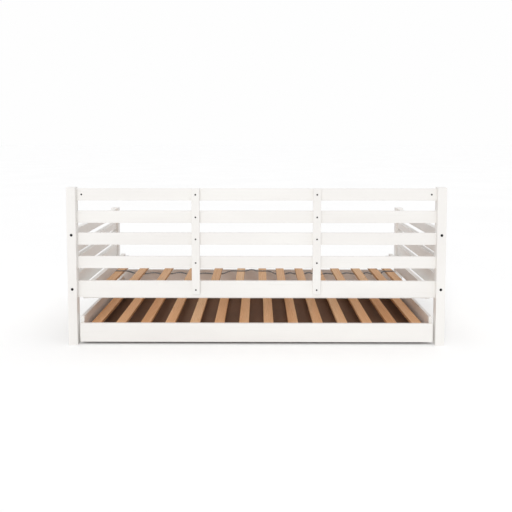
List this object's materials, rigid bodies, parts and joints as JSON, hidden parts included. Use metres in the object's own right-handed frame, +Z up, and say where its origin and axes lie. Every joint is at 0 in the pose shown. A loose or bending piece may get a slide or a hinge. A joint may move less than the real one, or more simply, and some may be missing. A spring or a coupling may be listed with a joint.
{
  "type": "trundle bed",
  "caption": "Single wooden bed with slatted ends, a guard-railed back, a slatted base and a low slatted trundle bed that rolls out of its open front.",
  "frame": {"origin": "on the floor, under the middle of the bed frame", "axes": "+X along the bed, +Y towards the open front that the trundle rolls out of, -Y the guarded back, +Z up"},
  "size_m": [2.092, 1.029, 0.881],
  "materials": {
    "white_paint": "satin white paint over solid pine",
    "hardboard": "brown pressed hardboard",
    "bare_pine": "planed pine, oiled to an orange brown",
    "black_steel": "black phosphated steel",
    "zinc_steel": "bright zinc plated steel",
    "webbing": "black woven polypropylene webbing",
    "wheel_plastic": "moulded black nylon"
  },
  "bodies": {
    "bed_frame": {"back_batten_left": "white_paint", "back_batten_right": "white_paint", "back_bottom_rail": "white_paint", "back_slat_1": "white_paint", "back_slat_2": "white_paint", "back_slat_3": "white_paint", "back_slat_4": "white_paint", "barrel_nuts": "black_steel", "base_end_left": "white_paint", "base_end_right": "white_paint", "base_screws": "zinc_steel", "batten_screws": "black_steel", "corner_angles": "zinc_steel", "end_rail_left_1": "white_paint", "end_rail_left_2": "white_paint", "end_rail_left_3": "white_paint", "end_rail_left_4": "white_paint", "end_rail_right_1": "white_paint", "end_rail_right_2": "white_paint", "end_rail_right_3": "white_paint", "end_rail_right_4": "white_paint", "frame_bolts": "black_steel", "front_post_left": "white_paint", "front_post_right": "white_paint", "front_rail": "white_paint", "rear_post_left": "white_paint", "rear_post_right": "white_paint", "slat_ledger_front": "white_paint", "slat_ledger_rear": "white_paint", "slat_strap": "webbing", "upper_slat_01": "bare_pine", "upper_slat_02": "bare_pine", "upper_slat_03": "bare_pine", "upper_slat_04": "bare_pine", "upper_slat_05": "bare_pine", "upper_slat_06": "bare_pine", "upper_slat_07": "bare_pine", "upper_slat_08": "bare_pine", "upper_slat_09": "bare_pine", "upper_slat_10": "bare_pine", "upper_slat_11": "bare_pine", "upper_slat_12": "bare_pine", "upper_slat_13": "bare_pine", "upper_slat_14": "bare_pine"},
    "trundle": {"corner_blocks": "bare_pine", "trundle_back_panel": "white_paint", "trundle_bearer_front": "bare_pine", "trundle_bearer_rear": "bare_pine", "trundle_bottom": "hardboard", "trundle_front_panel": "white_paint", "trundle_screws": "zinc_steel", "trundle_side_left": "white_paint", "trundle_side_right": "white_paint", "trundle_slats": "bare_pine", "wheel_axles": "zinc_steel", "wheel_brackets": "zinc_steel"},
    "wheel_rear_left": {"wheel_rear_left": "wheel_plastic"},
    "wheel_rear_right": {"wheel_rear_right": "wheel_plastic"},
    "wheel_front_left": {"wheel_front_left": "wheel_plastic"},
    "wheel_front_right": {"wheel_front_right": "wheel_plastic"}
  },
  "joints": [
    {"name": "trundle_slide", "type": "slide", "parent": "bed_frame", "child": "trundle", "axis": [0, 1, 0], "range_m": [0, 0.95]},
    {"name": "wheel_rear_left_spin", "type": "hinge", "parent": "trundle", "child": "wheel_rear_left", "pos_m": [-0.89, -0.435, 0.03], "axis": [1, 0, 0], "continuous": true},
    {"name": "wheel_rear_right_spin", "type": "hinge", "parent": "trundle", "child": "wheel_rear_right", "pos_m": [0.89, -0.435, 0.03], "axis": [1, 0, 0], "continuous": true},
    {"name": "wheel_front_left_spin", "type": "hinge", "parent": "trundle", "child": "wheel_front_left", "pos_m": [-0.89, 0.435, 0.03], "axis": [1, 0, 0], "continuous": true},
    {"name": "wheel_front_right_spin", "type": "hinge", "parent": "trundle", "child": "wheel_front_right", "pos_m": [0.89, 0.435, 0.03], "axis": [1, 0, 0], "continuous": true}
  ],
  "couplings": [
    {"joint": "wheel_rear_left_spin", "follows": "trundle_slide", "rad_per_m": -33.333},
    {"joint": "wheel_rear_right_spin", "follows": "trundle_slide", "rad_per_m": -33.333},
    {"joint": "wheel_front_left_spin", "follows": "trundle_slide", "rad_per_m": -33.333},
    {"joint": "wheel_front_right_spin", "follows": "trundle_slide", "rad_per_m": -33.333}
  ]
}
